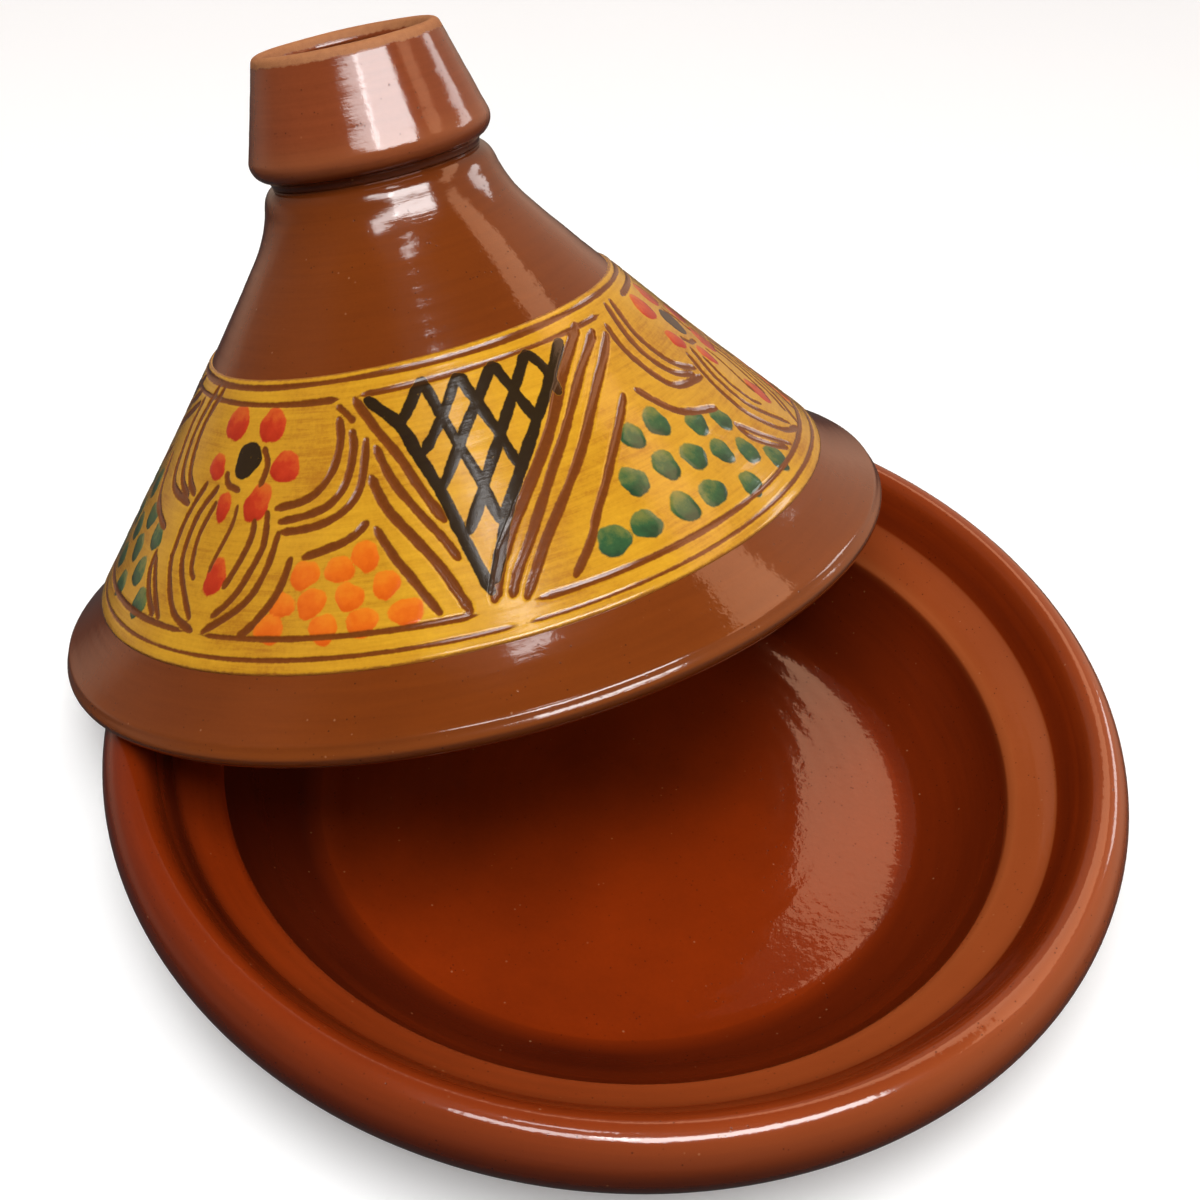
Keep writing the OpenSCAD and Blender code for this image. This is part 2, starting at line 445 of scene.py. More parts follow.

# %% [markdown]
# ## The painted band: what the painter did
#
# The band is pale slip. The pattern is one unit that comes three times round the lid.
# Each unit has a flower over a leaf, a pair of lobes, a panel of spots and a wedge of
# black lattice. The painter scratched double lines through the wet slip with a point,
# then dabbed the spots with a brush. Here a unit is drawn as strokes. Each
# point is an angle round the lid from the flower's centre, in degrees, and a height
# above the lid's rim, in millimetres.

# %% Scratched lines
UNIT = 124
SCRATCHED = [
    (1.4, [(-10.7, 57.6), (-13.4, 51), (-14.1, 44), (-13.2, 38.3), (-8.2, 30.3), (-2.3, 27.2)]),
    (1.4, [(-6.6, 57.3), (-10, 51), (-10.7, 44), (-9.5, 38.6), (-3.6, 29.5)]),
    (1.2, [(-5.7, 53.9), (-7.7, 46.8), (-7, 40), (-5.5, 37.7)]),
    (0.9, [(0.7, 53.9), (0.5, 49.6), (-1.6, 42.3), (-2, 39.7)]),
    (1.3, [(5.9, 51), (5.9, 46.8), (3.6, 40), (2.3, 36.9)]),
    (1.4, [(8.6, 52.8), (9.1, 46.8), (8, 42.3), (5, 34.9), (1.4, 30.5)]),
    (1.4, [(11.8, 48.5), (10.5, 41), (7.3, 33.7), (0.2, 27.2)]),
    (1.5, [(15, 43), (13.4, 36.3), (10, 30), (7.5, 27.1)]),
    (1.4, [(-19.5, 39), (-16.4, 34), (-11.4, 27.5)]),
    (1.5, [(23.2, 72), (23.6, 66.7), (21.5, 60), (17.3, 55.6), (10.5, 53.8)]),
    (1.5, [(26.2, 69), (26.5, 64.7), (24.5, 57.3), (20, 53), (11.8, 51)]),
    (1.5, [(29.3, 66.7), (27.9, 57.3), (24.5, 52.2), (18.6, 49.4), (12.7, 48.7)]),
    (1.2, [(22.9, 74.7), (24.8, 73), (26.5, 71.2)]),
    (1.6, [(-18, 78), (-21.5, 70), (-21, 63), (-18.5, 58), (-14, 54.8)]),
    (1.6, [(-21.5, 78), (-25, 70), (-25, 63), (-22, 57), (-16.5, 54)]),
    (1.6, [(-28.5, 74), (-30, 68), (-28.5, 60), (-25, 54.5), (-15, 52.3)]),
    (1.5, [(28.8, 49.2), (26.5, 46.8), (23.2, 45.2), (17.5, 43.4)]),
    (1.6, [(30.4, 47.7), (33.4, 40.6), (35.6, 36), (38.8, 28.3)]),
    (1.7, [(27, 75.8), (31.1, 69.5), (35.6, 62.2), (38.8, 54.5), (42, 46.8)]),
    (1.6, [(31.3, 64.7), (33.8, 57.6), (37.5, 50.2), (41, 43.4), (42.9, 38.3)]),
    (1.8, [(30, 58.5), (32.5, 51.6), (36.5, 44.5), (40.2, 36.9), (43, 27.5)]),
    (2.2, [(86.6, 77.6), (74.8, 69.5), (65.9, 59.5), (56.3, 48), (49.8, 38), (46.6, 28.8)]),
    (1.7, [(89.9, 74.7), (77.8, 67.3), (67, 56.5), (59.9, 47.7), (51.6, 34.4), (49.2, 28.8)]),
    (1.8, [(92.9, 72.5), (79.5, 63.2), (67.7, 51), (57.5, 38.8), (51, 27.3)]),
    (1.5, [(84.3, 59.3), (75.4, 50.6), (66.5, 39.9), (63, 34.3), (58.5, 28.5)]),
    (1.6, [(88, 58.8), (90.2, 54.3), (92.6, 50.6), (96.7, 48), (103.2, 45.4)]),
    (1.5, [(103.8, 39.9), (104, 36.2), (106.8, 31.8), (110.6, 28.2)]),
    (1.3, [(-5, 60.5), (-3.5, 58.3), (0, 57.2)]),
    (1.3, [(4.5, 66.5), (6.3, 63), (5.5, 58.5)]),
]

# %% [markdown]
# The lattice is laid over the wedge with a loaded brush: two long sides that meet low
# down, and two sets of slanting strokes that cross between them.

# %% Black brush strokes
BLACK = [
    (2.1, [(30.2, 75.2), (36.5, 69), (39.7, 61), (42.5, 52.5), (44.3, 43), (46.5, 30.6)]),
    (2.1, [(79, 76), (71, 69), (64, 62), (58, 54.5), (53, 47), (50, 40), (47.5, 33)]),
    (1.9, [(42.7, 76.9), (37.2, 69)]),
    (1.9, [(51.3, 76.3), (46.5, 69.3), (41, 62)]),
    (1.9, [(60, 76.5), (53.7, 69.5), (48.8, 63.3), (42.9, 53.6)]),
    (1.9, [(69, 76.5), (62.5, 69.5), (56.5, 62), (51, 53.6), (45.6, 43.4)]),
    (1.9, [(43.5, 76.9), (45.2, 71), (47.5, 62.2), (49.7, 53), (50.6, 44.5)]),
    (1.9, [(52, 76.3), (54, 69), (56, 61), (57, 54)]),
    (1.9, [(60.5, 76.5), (62.5, 69), (64, 62)]),
    (1.9, [(69.5, 76.5), (71.5, 72), (71.5, 66)]),
]

# %% [markdown]
# Spots are single dabs of a round brush. Each has a centre, a half width in degrees,
# a half height in millimetres and a slant. The flower has six red petals round a
# black eye, the panel on its right has orange spots, and the far panel green ones.

# %% Dabbed spots
RED_SPOTS = [(-6.3, 71.5, 4, 3.6, 0.2), (5.5, 71.5, 3.7, 4.2, -0.2), (-8.8, 61.5, 2.8, 3.2, 0.1),
             (11, 62.5, 3.3, 4, -0.5), (-3.1, 53.5, 2, 2.9, 0), (5.7, 54.8, 3, 4, -0.6),
             (-0.2, 38.6, 2.2, 4.2, -0.3)]
ORANGE_SPOTS = [(18, 39.6), (24, 40.2), (28.4, 42.4), (14.3, 33.7), (19.5, 33.8), (25.7, 34.4),
                (31.5, 36), (12.7, 28.8), (21.7, 28.3), (27.6, 29), (34.2, 29.8)]
GREEN_SPOTS = [(79.7, 50.5), (86.3, 50.7), (94.7, 45.7), (101.5, 42.8), (74.5, 41.8),
               (81.7, 41.8), (88, 40.3), (94.2, 37.7), (66, 32.3), (72, 32.7), (79.5, 32.3),
               (85.8, 31.8), (100, 34), (93.7, 28.5), (105, 28.5)]
EYE = [(0.5, 63.8, 3.5, 4.5, 0)]

# %% [markdown]
# ## The painted band: how far each point is from a stroke
#
# Every point of the band is given its distance from the nearest stroke's edge, in
# millimetres and negative inside. The materials then turn distances into edges, with
# noise added, so a brush stroke ends raggedly and not along the mesh. Far round the
# back the three units don't share the lid equally: the last one is a little squeezed.

# %% Band grid
BAND_COLUMNS, BAND_ROWS = 1000, 150
START = -120
UNIT_WIDTHS = (124, 112, 124)
around = np.linspace(0, 360, BAND_COLUMNS, endpoint=False)
share = np.linspace(0, 1, BAND_ROWS)
tilt = np.cos(np.radians(around + 35))
band_low = BAND_LOW + 0.4 * tilt
band_high = BAND_HIGH + 1.5 * tilt
high_z = band_low[None] + (band_high - band_low)[None] * share[:, None]


def unit_angle(angle):
    """Angle from the flower of the unit that a point of the band lies in."""
    lead = 32
    turned_by = (angle - START + lead) % 360
    edges = np.concatenate([[0], np.cumsum(UNIT_WIDTHS)])
    which = np.clip(np.searchsorted(edges, turned_by, side="right") - 1, 0, 2)
    width = np.array(UNIT_WIDTHS)[which]
    return (turned_by - edges[which]) / width * UNIT - lead


unit_at = np.broadcast_to(unit_angle(around), high_z.shape)
mm_per_degree = np.radians(1) * side_r(high_z)
print("band is", BAND_ROWS, "by", BAND_COLUMNS, "points")

# %% [markdown]
# A stroke's few listed points are joined by a smooth curve through them. Near
# both ends of a unit, strokes of the next one reach over, so each stroke is tried one
# unit to the left and to the right as well.

# %% Distances
def smooth_path(points, count=5):
    """A smooth curve through a stroke's points."""
    p = np.array([points[0]] + list(points) + [points[-1]], float)
    out = [p[1]]
    for a, b, c, d in zip(p, p[1:], p[2:], p[3:]):
        for t in np.linspace(0, 1, count + 1)[1:]:
            out.append(0.5 * (2 * b + (c - a) * t + (2 * a - 5 * b + 4 * c - d) * t * t
                              + (3 * b - a - 3 * c + d) * t ** 3))
    return np.array(out)


def near(low_a, high_a, bottom, top, margin=4):
    """Which points of the band, and at which shift of a unit, lie near a mark."""
    for shift in (-UNIT, 0, UNIT):
        angle = unit_at + shift
        found = ((angle > low_a - margin) & (angle < high_a + margin)
                 & (high_z > bottom - margin) & (high_z < top + margin))
        if found.any():
            yield shift, found


def stroke_gap(strokes, rng, wider=1.0, taper=0.35, shake=0.08):
    """Distance of every point from the nearest stroke's edge."""
    gap = np.full(high_z.shape, 9.0)
    for width, points in strokes:
        path = smooth_path(points)
        path[:, 1] += shake * rng.standard_normal(len(path)).cumsum() * 0.4
        halves = 0.5 * width * wider * (1 + 0.07 * rng.standard_normal(len(path)))
        ends = np.minimum(np.arange(len(path)), np.arange(len(path))[::-1])
        halves *= 1 - taper * (ends < 1)
        for shift, found in near(path[:, 0].min(), path[:, 0].max(),
                                 path[:, 1].min(), path[:, 1].max()):
            x, z, k = unit_at[found] + shift, high_z[found], mm_per_degree[found]
            best = np.full(x.shape, 9.0)
            for (a, b), (c, d), h, g in zip(path, path[1:], halves, halves[1:]):
                ux, uz = (c - a) * k, (d - b) * SLANT
                px, pz = (x - a) * k, (z - b) * SLANT
                t = np.clip((px * ux + pz * uz) / (ux * ux + uz * uz + 1e-9), 0, 1)
                best = np.minimum(best, np.hypot(px - t * ux, pz - t * uz) - (h + (g - h) * t))
            gap[found] = np.minimum(gap[found], best)
    return gap


def spot_gap(spots, rng, half_w=2.3, half_h=3.0):
    """Distance of every point from the nearest dab's edge, and its place in the dab."""
    gap = np.full(high_z.shape, 9.0)
    across = np.zeros(high_z.shape)
    for spot in spots:
        if len(spot) == 2:
            spot = (*spot, half_w, half_h, rng.uniform(-0.4, 0.4))
        a, z0, w, h, slant = spot
        w = w * rng.uniform(0.92, 1.08)
        h = h * rng.uniform(0.92, 1.08)
        lobe = rng.uniform(0, 6.28, 3)
        for shift, found in near(a - w, a + w, z0 - h, z0 + h):
            k = mm_per_degree[found]
            level, climb = (unit_at[found] + shift - a) * k, (high_z[found] - z0) * SLANT
            px = level * math.cos(slant) + climb * math.sin(slant)
            pz = climb * math.cos(slant) - level * math.sin(slant)
            way = np.arctan2(pz, px)
            size = 1 + 0.07 * np.sin(2 * way + lobe[0]) + 0.06 * np.sin(3 * way + lobe[1])
            size += 0.03 * np.sin(5 * way + lobe[2])
            reach = np.hypot(px / (w * k.mean()), pz / (h * SLANT)) / size
            mine = (reach - 1) * min(w * k.mean(), h * SLANT)
            nearer = mine < gap[found]
            across[found] = np.where(nearer, pz / (h * SLANT), across[found])
            gap[found] = np.minimum(gap[found], mine)
    return gap, across


# %% [markdown]
# The two borders are scratched with the lid turning on the wheel, so they run right
# round: a thin line and a thick one low down, and a thick line and a thinner one at
# the top. The point skips in places and leaves short breaks.

# %% Borders
def border_gap(height, width, breaks, rng):
    """Distance from a line that runs round the lid at a height."""
    wander = sum(0.12 * np.sin(np.radians(around) * k + rng.uniform(0, 6.28)) for k in (1, 2, 3, 5))
    pressed = 1 + 0.2 * np.sin(np.radians(around) * 4 + rng.uniform(0, 6.28))
    pressed += 0.12 * np.sin(np.radians(around) * 11 + rng.uniform(0, 6.28))
    for start, end in breaks:
        middle, half = (start + end) / 2, (end - start) / 2
        off = np.abs((around - middle + 180) % 360 - 180)
        pressed = pressed * np.clip((off - half) / 2 + 0.5, -0.3, 1)
    return np.abs(high_z - (height + wander)[None]) * SLANT - (0.5 * width * pressed)[None]


rng = np.random.default_rng(7)
line_gap = stroke_gap(SCRATCHED, rng, wider=1.4)
for height, width, breaks in [(0 * around + 22.4, 0.9, [(-72, -69)]),
                              (0 * around + 26.4, 1.5, [(-125, -119), (-77, -67)]),
                              (band_high - 1.9, 1.6, []),
                              (band_high - 5.6, 1.5, [(-98, -91), (-25, -8)])]:
    line_gap = np.minimum(line_gap, border_gap(height, width, breaks, rng))
black_gap = np.minimum(stroke_gap(BLACK, rng, wider=1.6, taper=0.2), spot_gap(EYE, rng)[0])
red_gap, red_across = spot_gap(RED_SPOTS, rng)
orange_gap, orange_across = spot_gap(ORANGE_SPOTS, rng, 2.4, 3.1)
green_gap, green_across = spot_gap(GREEN_SPOTS, rng, 2.6, 3.4)
print("scratched share of the band:", round(float((line_gap < 0).mean()), 3))

# %% [markdown]
# ## The painted band: its clay
#
# The coat of slip is a closed skin round the cone. Its inner side sinks a little into
# the cone, so no gap shows. The point cut the lines to almost the slip's depth, and
# left a slight burr. Paint stands up a little where the brush was full.

# %% Band mesh
GROOVE = 0.3
BACK_SINK = 0.9
cut = GROOVE * np.clip(-line_gap / 0.45 + 0.35, 0, 1)
burr = 0.05 * np.exp(-((line_gap - 0.45) / 0.35) ** 2)
paint = 0.05 * np.clip(-black_gap / 0.8, 0, 1)
for gap in (red_gap, orange_gap, green_gap):
    paint = np.maximum(paint, 0.12 * np.clip(-gap / 0.9, 0, 1))
angle = np.radians(around)[None]
walk = high_z * SLANT
uneven = rings(walk, angle, rng, 0.035) + drift(walk, angle, rng, 0.13)
edge = np.clip(np.minimum(share, 1 - share) * 80 / 1.2, 0, 1)[:, None] ** 0.5
outer = (SLIP_T * (0.25 + 0.75 * edge) + uneven * edge + burr + paint - cut + 0.02)
normal_r, normal_z = 1 / SLANT, TAPER / SLANT
out_r = side_r(high_z) + outer * normal_r
out_z = high_z + outer * normal_z
back_z = np.stack([high_z[0], high_z[-1]])
back_r = side_r(back_z) - BACK_SINK * normal_r
back_z = back_z - BACK_SINK * normal_z


def grid_points(radius, height):
    """Points round the axis from a grid of radii and heights."""
    turn = np.radians(around)[None]
    return np.stack([radius * np.cos(turn), radius * np.sin(turn), height], 2).reshape(-1, 3)


loop_r = np.concatenate([out_r, back_r[::-1]])
loop_z = np.concatenate([out_z, back_z[::-1]])
count = np.arange(loop_r.size).reshape(loop_r.shape)
above, beside = np.roll(count, -1, 0), np.roll(count, -1, 1)
corner = np.roll(above, -1, 1)
band_faces = [tuple(map(int, q)) for q in
              np.stack([count, beside, corner, above], 2).reshape(-1, 4)]
band = mesh_object("slip_band_skin", grid_points(loop_r, loop_z), band_faces, LID_PLACE)
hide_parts("slip_band")
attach(band, "lid")

# %% [markdown]
# The distances go with the mesh as facts of its points. The hidden inner side keeps
# plain values, because no mark reaches it.

# %% Band facts
def with_back(values, plain=9.0):
    """Values of the outer side, with a plain value for the hidden inner side."""
    return np.concatenate([values.ravel(), np.full(2 * BAND_COLUMNS, plain)])


band_facts = {"line_gap": line_gap, "black_gap": black_gap, "red_gap": red_gap,
              "orange_gap": orange_gap, "green_gap": green_gap}
for name, values in band_facts.items():
    fact(band, name, with_back(values))
dab_across = np.where(green_gap < red_gap, green_across, red_across)
dab_across = np.where(orange_gap < np.minimum(green_gap, red_gap), orange_across, dab_across)
fact(band, "dab_across", with_back(dab_across, 0))
fact(band, "edge_share", with_back(np.broadcast_to(share[:, None], high_z.shape), 0))

# %% [markdown]
# ## A way to write material maths
#
# A material is a tree of nodes, which reads badly when it is built link by link. This
# class wraps one output, so that materials can be written as sums. Numbers go through
# Math nodes, and colours through Mix nodes.

# %% Material maths
class Value:
    """One output of a material node, with the arithmetic that shader maths needs."""

    def __init__(self, tree, plug):
        self.tree = tree
        self.plug = plug

    def node(self, kind, settings=None, inputs=None, output=0):
        """A new node of a type, with its settings and the values or plugs of its inputs."""
        made = self.tree.nodes.new(kind)
        for name, value in (settings or {}).items():
            setattr(made, name, value)
        for name, value in (inputs or {}).items():
            where = made.inputs[name]
            if isinstance(value, Value):
                self.tree.links.new(value.plug, where)
            else:
                where.default_value = value
        return Value(self.tree, made.outputs[output])

    def maths(self, operation, *values, clamp=False):
        """A Math node of this value and others."""
        return self.node("ShaderNodeMath", {"operation": operation, "use_clamp": clamp},
                         dict(enumerate((self, *values))))

    def __add__(self, other):
        return self.maths("ADD", other)

    def __radd__(self, other):
        return self.maths("ADD", other)

    def __sub__(self, other):
        return self.maths("SUBTRACT", other)

    def __rsub__(self, other):
        return (self * -1) + other

    def __mul__(self, other):
        return self.maths("MULTIPLY", other)

    def __rmul__(self, other):
        return self.maths("MULTIPLY", other)

    def __truediv__(self, other):
        return self.maths("DIVIDE", other)

    def above(self, level, soft):
        """0 below a level and 1 above it, with a soft edge of a width."""
        return ((self - level) / soft + 0.5).maths("ADD", 0.0, clamp=True)

    def below(self, level, soft):
        """1 below a level and 0 above it, with a soft edge of a width."""
        return ((level - self) / soft + 0.5).maths("ADD", 0.0, clamp=True)

    def blend(self, first, second):
        """Two colours mixed by this value."""
        return self.node("ShaderNodeMix", {"data_type": "RGBA"},
                         {0: self, 6: first, 7: second}, output=2)

    def noise(self, where, scale, detail=3, rough=0.5):
        """Smooth random values at a place."""
        return self.node("ShaderNodeTexNoise", {"noise_dimensions": "3D"},
                         {"Vector": where, "Scale": scale, "Detail": detail, "Roughness": rough})

    def stretched(self, where, scales):
        """A place with each of its directions scaled."""
        return self.node("ShaderNodeVectorMath", {"operation": "MULTIPLY"}, {0: where, 1: scales})


# %% [markdown]
# A material starts from a fact of its piece. The glaze itself is the same for all. The
# surface's own reflection is the sharp one, because the fine relief moves it and breaks
# it up. A weak, rougher coat adds the soft glow round a highlight. It could be the
# other way round, but the relief feeds only the surface's Normal, so a sharp coat would
# stay perfectly smooth.

# %% Material starts
def start_material(name):
    """A new material, its tree as a Value, and its surface node."""
    made = bpy.data.materials.new(name)
    made.use_nodes = True
    tree = made.node_tree
    surface = tree.nodes["Principled BSDF"]
    return made, Value(tree, None), surface


def fact_of(start, name, kind="Fac"):
    """A fact of the piece, as a number or as a vector."""
    return start.node("ShaderNodeAttribute", {"attribute_name": name}, output=(
        "Color", "Vector", "Fac").index(kind))


def colour(red, green, blue):
    """A colour from its everyday values of 0 to 255."""
    def light(c):
        c = c / 255
        return c / 12.92 if c <= 0.04045 else ((c + 0.055) / 1.055) ** 2.4
    return (light(red), light(green), light(blue), 1)


def finish_surface(start, surface, made_colour, rough, height, bump_mm):
    """Feeds a surface's colour, roughness and fine relief."""
    link = start.tree.links.new
    link(made_colour.plug, surface.inputs["Base Color"])
    link(rough.plug, surface.inputs["Roughness"])
    relief = start.node("ShaderNodeBump", {}, {"Strength": 1.0, "Distance": bump_mm * MM,
                                               "Height": height})
    link(relief.plug, surface.inputs["Normal"])


# %% [markdown]
# ## Glaze over terracotta
#
# Lead-free transparent glaze on red clay looks chestnut brown. It is browner where it
# lies thick and more orange where it runs thin over an edge. The same two colours also
# carry painted shade and painted light. The fired clay under it is streaked along the
# throwing rings, mottled by the kiln, and peppered with dark iron specks and a few pale grits.

# %% Glaze
def glaze(name, pooled, deep, mid, thin, seed_shift):
    """Transparent glaze over thrown red clay."""
    made, start, surface = start_material(name)
    own = fact_of(start, "own", "Vector")
    place = start.node("ShaderNodeVectorMath", {"operation": "ADD"},
                       {0: own, 1: (seed_shift, seed_shift * 0.7, 0)})
    kiln = start.noise(place, 0.018, 4, 0.55)
    streaks = start.noise(start.stretched(place, (0.03, 0.03, 0.7)), 1.0, 5, 0.6)
    grain = start.noise(place, 0.9, 4, 0.6)
    body = (kiln * 0.5 + streaks * 0.35 + grain * 0.15)
    tone = body.below(0.5, 0.45).blend(mid, deep)
    wavy = (kiln - 0.5) * 0.5
    # Paler where the glaze runs thin, and as painted light; darker where it pools, and as painted
    # shade.
    tone = (fact_of(start, "thin") + wavy * fact_of(start, "thin")).blend(tone, thin)
    tone = (fact_of(start, "pool_and_shade") * (0.95 + wavy)).blend(tone, pooled)
    specks = start.node("ShaderNodeTexVoronoi", {"feature": "F1"},
                        {"Vector": place, "Scale": 0.55, "Randomness": 1.0})
    chosen = start.noise(place, 0.21, 2).above(0.56, 0.08)
    dark = specks.below(0.13, 0.1) * chosen
    tone = (dark * 0.6).blend(tone, colour(38, 14, 8))
    grits = start.node("ShaderNodeTexVoronoi", {"feature": "F1"},
                       {"Vector": place, "Scale": 0.23, "Randomness": 1.0})
    pale = grits.below(0.07, 0.05) * start.noise(place, 0.13, 2).above(0.55, 0.06)
    tone = (pale * 0.25).blend(tone, colour(206, 150, 104))
    rough = 0.025 + 0.02 * start.noise(place, 0.06, 4)
    height = start.noise(place, 0.35, 3) * 0.7 + streaks * 0.6 + pale * 0.4 - dark * 0.3
    surface.inputs["Specular IOR Level"].default_value = 0.45
    surface.inputs["Coat Weight"].default_value = 0.24
    surface.inputs["Coat Roughness"].default_value = 0.18
    surface.inputs["Coat IOR"].default_value = 1.5
    finish_surface(start, surface, tone, rough, height, 0.09)
    return made, start, surface, tone, rough, height


# On the dish the first colour is painted shade, and the last is painted light and painted
# reflection.
dish_glaze = glaze("dish_glaze", colour(72, 20, 6), colour(112, 36, 7), colour(144, 48, 8),
                   colour(172, 86, 42), 3.1)[0]
dish.data.materials.append(dish_glaze)
cone_glaze = glaze("cone_glaze", colour(66, 28, 12), colour(106, 47, 11),
                   colour(129, 60, 15), colour(146, 78, 30), 41.7)[0]
cone.data.materials.append(cone_glaze)
print("glazed the dish and the cone")

# %% [markdown]
# ## The knob's bare lip
#
# The pot is fired standing on its knob, so the lip is wiped free of glaze and shows
# pale orange clay, dry and slightly gritty. The glaze ends in a ragged line a little
# below it. Inside, the cup is brown and dark: painted shade.

# %% Knob glaze
def knob_material():
    """Glaze that gives way to bare clay at the knob's lip."""
    made, start, surface, tone, rough, height = glaze(
        "knob_glaze", colour(62, 28, 14), colour(118, 54, 26), colour(146, 72, 38),
        colour(156, 90, 52), 77.3)
    own = fact_of(start, "own", "Vector")
    parts = start.node("ShaderNodeSeparateXYZ", {}, {"Vector": own}, output=2)
    ragged = parts + 2.2 * start.noise(own, 0.25, 4, 0.6)
    bare = ragged.above(KNOB_TOP - 1.4, 0.5)
    clay = start.noise(own, 0.5, 5, 0.65).blend(colour(152, 92, 56), colour(186, 126, 80))
    grit = start.noise(own, 2.4, 3, 0.7)
    tone = bare.blend(tone, clay)
    rough = rough + bare * (0.6 + 0.2 * grit)
    surface.inputs["Specular IOR Level"].default_value = 0.35
    start.tree.links.new((0.24 - 0.24 * bare).plug, surface.inputs["Coat Weight"])
    finish_surface(start, surface, tone, rough, height + bare * grit * 1.5, 0.09)
    return made


knob.data.materials.append(knob_material())

# %% [markdown]
# ## Slip, scratches and paint
#
# The slip is ochre yellow and was brushed on while the lid turned, so it is streaked
# round the lid, thin at its edges and worn orange in places. A scratched line shows
# dark clay with glaze pooled in it. Paint lies over the slip under the same glaze:
# near-black lattice strokes, and dabs that are thick and dark low down and thin and
# pale at the top, where the brush left the surface.

# %% Slip band
def slip_material():
    """Yellow slip with scratched lines and painted strokes, under clear glaze."""
    made, start, surface = start_material("slip_and_paint")
    own = fact_of(start, "own", "Vector")
    cloud = start.noise(own, 0.035, 4, 0.6)
    brushed = start.noise(start.stretched(own, (0.045, 0.045, 0.9)), 1.0, 5, 0.65)
    fine = start.noise(own, 0.8, 5, 0.65)
    thick = cloud * 0.45 + brushed * 0.35 + fine * 0.2
    tone = thick.below(0.5, 0.34).blend(colour(222, 166, 40), colour(182, 122, 22))
    tone = (thick.below(0.4, 0.14) * 0.5).blend(tone, colour(158, 88, 26))
    ragged = (fine - 0.5) * 1.1 + (start.noise(own, 0.25, 4) - 0.5) * 0.9
    rim = fact_of(start, "edge_share")
    rim = (0.5 - (rim - 0.5).maths("ABSOLUTE")) * 80
    tone = ((rim + ragged * 0.8).below(0.55, 0.5) * 0.8).blend(tone, colour(146, 84, 32))
    height = brushed * 0.5 + fine * 0.25

    dab = fact_of(start, "dab_across")
    load = (dab * 0.35 + 0.5 + (start.noise(own, 0.3, 4, 0.6) - 0.5) * 0.9)
    for name, full, thin in [("red_gap", colour(176, 34, 18), colour(208, 60, 28)),
                             ("orange_gap", colour(214, 88, 12), colour(232, 116, 24)),
                             ("green_gap", colour(14, 62, 42), colour(50, 106, 62))]:
        there = (fact_of(start, name) + ragged * 0.8).below(0.0, 0.5)
        cover = there * (0.97 - 0.32 * load.above(0.75, 0.5))
        tone = cover.blend(tone, load.above(0.5, 0.6).blend(full, thin))
    black = (fact_of(start, "black_gap") + ragged * 0.55).below(0.0, 0.35)
    skips = start.noise(start.stretched(own, (0.5, 0.5, 0.5)), 1.0, 5, 0.7).above(0.30, 0.1)
    tone = (black * (0.75 + 0.22 * skips)).blend(tone, colour(22, 16, 14))

    line = fact_of(start, "line_gap") + ragged * 0.4
    pooled = fine.blend(colour(100, 48, 12), colour(134, 70, 20))
    tone = (line.below(0.16, 0.4) * (1 - 0.85 * black)).blend(tone, pooled)
    tone = (line.below(-0.5, 0.4) * 0.18 * (1 - 0.85 * black)).blend(tone, colour(70, 30, 10))
    rough = 0.04 + 0.02 * cloud
    surface.inputs["Specular IOR Level"].default_value = 0.3
    surface.inputs["Coat Weight"].default_value = 0.24
    surface.inputs["Coat Roughness"].default_value = 0.25
    surface.inputs["Coat IOR"].default_value = 1.5
    finish_surface(start, surface, tone, rough, height, 0.12)
    return made


band.data.materials.append(slip_material())

# %% [markdown]
# ## Table and light
#
# The pot stands on a pale plain floor in a dim room. The floor is hidden from
# reflections and from bounced light, so that it doesn't wash out the dark glaze, and
# it glows slightly, so that it stays pale. That isn't how light behaves in a room, but
# it changes nothing on the pot itself.

# %% Floor
def make_floor():
    """A pale matt floor, wide enough to fill the view."""
    bpy.ops.mesh.primitive_circle_add(vertices=96, radius=7, fill_type="NGON",
                                      location=(0, 0, -0.0002))
    floor = bpy.context.object
    floor.name = "pale_floor"
    made, start, surface = start_material("pale_floor")
    spot = start.node("ShaderNodeNewGeometry", output=0)
    shade = start.noise(spot, 3.0, 3).blend((0.86, 0.86, 0.86, 1), (0.90, 0.90, 0.90, 1))
    start.tree.links.new(shade.plug, surface.inputs["Base Color"])
    surface.inputs["Roughness"].default_value = 0.9
    surface.inputs["Specular IOR Level"].default_value = 0.1
    surface.inputs["Emission Color"].default_value = (1, 1, 1, 1)
    surface.inputs["Emission Strength"].default_value = 0.2
    floor.data.materials.append(made)
    floor.visible_glossy = False
    floor.visible_diffuse = False


make_floor()

# %% [markdown]
# The dome is a dim warm room. Its walls are brightest behind the pot, from the table's
# level to halfway up, and it is darker overhead, on the viewer's side and on the left.

# %% Dome
def make_dome():
    """A dim world with paler walls behind the pot."""
    world = bpy.data.worlds.new("dim_room")
    bpy.context.scene.world = world
    world.use_nodes = True
    tree = world.node_tree
    back = tree.nodes["Background"]
    start = Value(tree, None)
    way = start.node("ShaderNodeTexCoord")
    apart = start.node("ShaderNodeSeparateXYZ", {}, {"Vector": way})
    right = Value(tree, apart.plug.node.outputs[0])
    behind = Value(tree, apart.plug.node.outputs[1])
    up = Value(tree, apart.plug.node.outputs[2])
    lit = right.above(-0.25, 0.7).maths("MAXIMUM", up.below(-0.15, 0.2))
    walls = up.below(0.70, 0.22) * up.above(-0.28, 0.3) * (0.35 + 0.65 * lit)
    shade = behind.above(0.0, 1.3).blend((0.13, 0.11, 0.10, 1), (0.64, 0.45, 0.34, 1))
    shade = walls.blend((0.055, 0.05, 0.05, 1), shade)
    tree.links.new(shade.plug, back.inputs["Color"])
    back.inputs["Strength"].default_value = 1.0


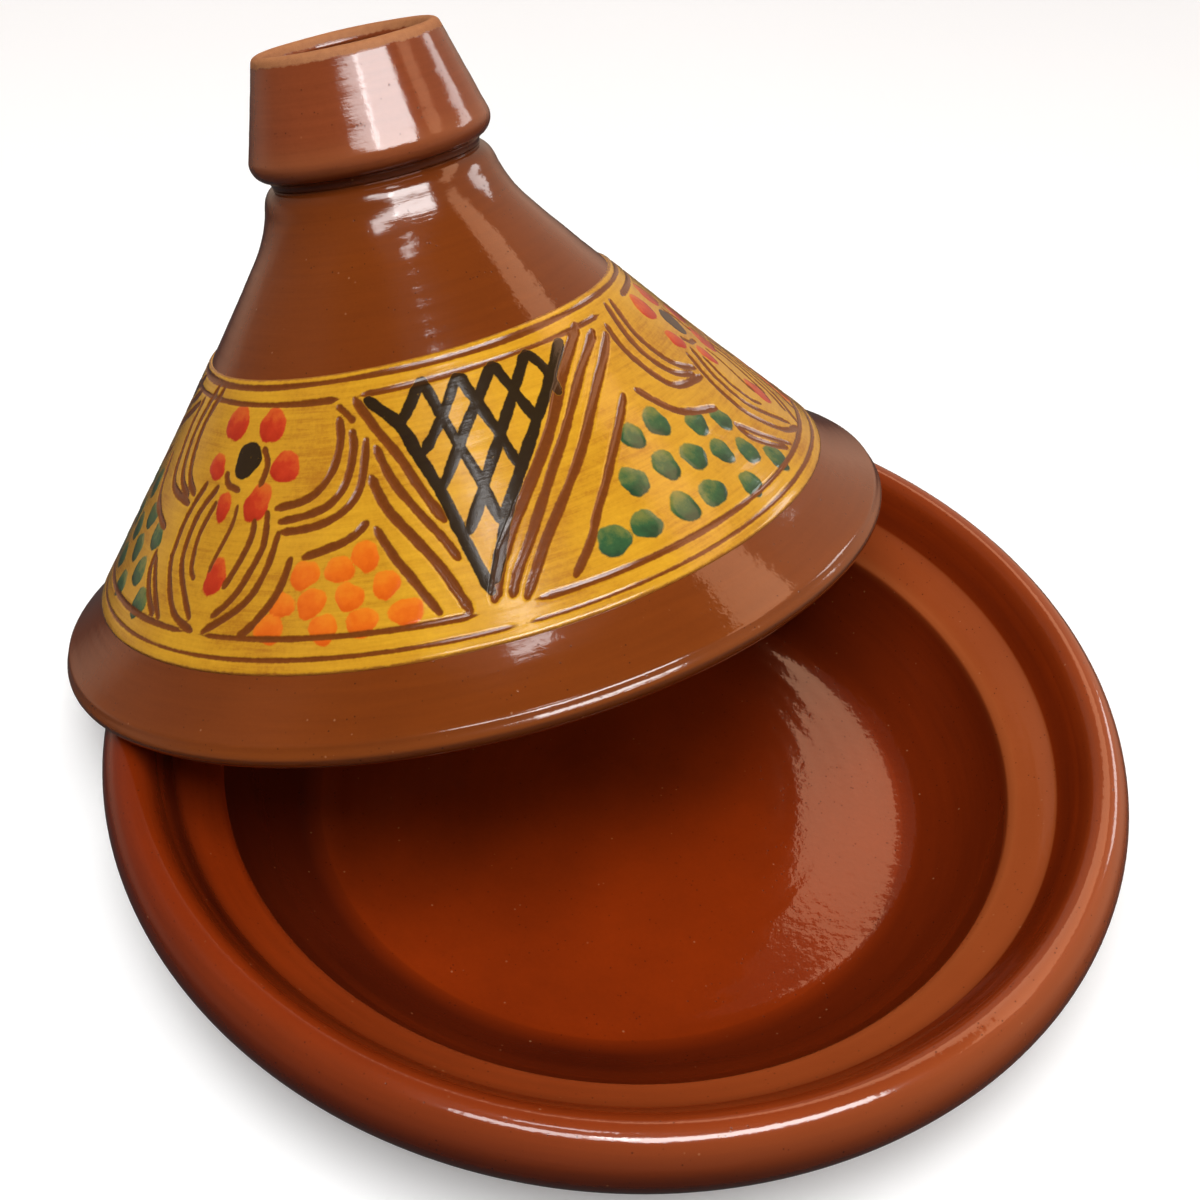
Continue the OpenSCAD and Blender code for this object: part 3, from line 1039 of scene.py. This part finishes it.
make_dome()


# %% [markdown]
# Each light is a flat rectangle that faces the pot from a direction, given as a compass
# direction and a height, both in degrees. The first three do the lighting: a large
# one above and two fills at the sides. The others only shine in the glaze, so that
# each highlight can be placed by itself. The wide warm one behind on the right makes
# the long reflection on the dish's floor, and the others shine on the knob, the cone
# and the rims.

# %% Lamps
def lamp(name, compass, height, distance, width, tall, power, tint=(1, 1, 1), lights=False):
    """A flat light that faces the pot, and either lights it or shines in its glaze."""
    a, e = math.radians(compass), math.radians(height)
    way = Vector((math.cos(a) * math.cos(e), math.sin(a) * math.cos(e), math.sin(e)))
    data = bpy.data.lights.new(name, "AREA")
    data.shape = "RECTANGLE"
    data.size, data.size_y = width, tall
    data.energy = power
    data.color = tint
    made = bpy.data.objects.new(name, data)
    made.location = way * distance + Vector((0, 0.02, 0.08))
    made.rotation_mode = "QUATERNION"
    made.rotation_quaternion = way.to_track_quat("Z", "Y")
    made.visible_diffuse = lights
    made.visible_glossy = not lights
    bpy.context.scene.collection.objects.link(made)


lamp("ceiling", -95, 71, 1.8, 1.1, 1.1, 35, lights=True)
lamp("right_fill", 5, 28, 1.8, 0.8, 0.6, 7, lights=True)
lamp("left_fill", 190, 30, 1.8, 0.8, 0.6, 2.5, lights=True)
lamp("window", 44, 50, 2.2, 2.9, 0.55, 14, (1.0, 0.55, 0.32))
lamp("front_right", -52, 54, 1.8, 1.2, 0.5, 30)
lamp("front_left", -98, 53, 1.8, 0.75, 0.36, 9)
lamp("overhead", -98, 78, 1.9, 0.34, 0.2, 1.8)
lamp("low_right", 36, 20, 1.9, 0.7, 0.35, 4)

# %% [markdown]
# ## Camera
#
# The viewer stands over the near edge of the dish and looks down at it, with the
# camera turned a few degrees to one side.

# %% Camera
LENS, YAW, PITCH, ROLL = 51, -1.538, 43.072, 4.985
eye = bpy.data.cameras.new("viewer")
eye.lens = LENS
eye.sensor_width = 36
camera = bpy.data.objects.new("viewer", eye)
camera.rotation_mode = "XYZ"
turn = (Matrix.Rotation(math.radians(-YAW), 4, "Z")
        @ Matrix.Rotation(math.radians(90 - PITCH), 4, "X")
        @ Matrix.Rotation(math.radians(ROLL), 4, "Z"))
camera.matrix_world = Matrix.Translation((0, -0.348, 0.412)) @ turn
bpy.context.scene.collection.objects.link(camera)
bpy.context.scene.camera = camera
bpy.context.scene.view_settings.view_transform = "Standard"
print("looking along", [round(v, 4) for v in camera.matrix_world.to_3x3() @ Vector((0, 0, -1))])
print("right is", [round(v, 4) for v in camera.matrix_world.to_3x3() @ Vector((1, 0, 0))])
